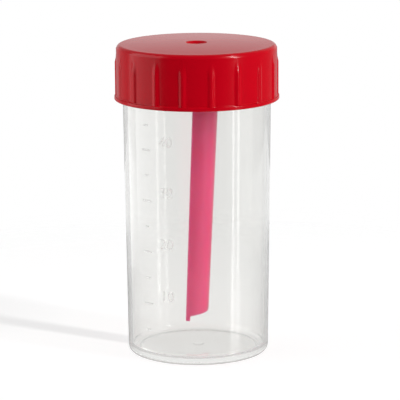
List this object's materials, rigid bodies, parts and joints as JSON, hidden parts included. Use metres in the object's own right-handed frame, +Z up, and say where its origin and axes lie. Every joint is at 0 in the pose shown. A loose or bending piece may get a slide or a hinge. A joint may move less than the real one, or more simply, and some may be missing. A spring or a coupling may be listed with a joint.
{
  "type": "stool specimen container",
  "caption": "Clear tapered plastic jar with a ribbed red screw cap and a long curved spoon that hangs from the cap.",
  "frame": {"origin": "centre of the ring that the jar stands on", "axes": "+Z up the jar's axis, towards the cap; -Y is the front"},
  "size_m": [0.039, 0.039, 0.0743],
  "materials": {
    "jar": "clear polypropylene, slightly milky, smooth",
    "screw_cap": "opaque red, moulded, semi-gloss",
    "spoon": "raspberry, slightly translucent, smooth"
  },
  "bodies": {
    "jar_body": {"jar": "jar"},
    "spoon_body": {"spoon": "spoon"},
    "cap_body": {"screw_cap": "screw_cap"}
  },
  "joints": [
    {"name": "cap_lift", "type": "slide", "parent": "jar_body", "child": "spoon_body", "axis": [0, 0, 1], "range_m": [0, 0.07]},
    {"name": "cap_turn", "type": "hinge", "parent": "spoon_body", "child": "cap_body", "pos_m": [0, 0, 0.0692], "axis": [0, 0, 1], "range_deg": [0, 450]}
  ]
}
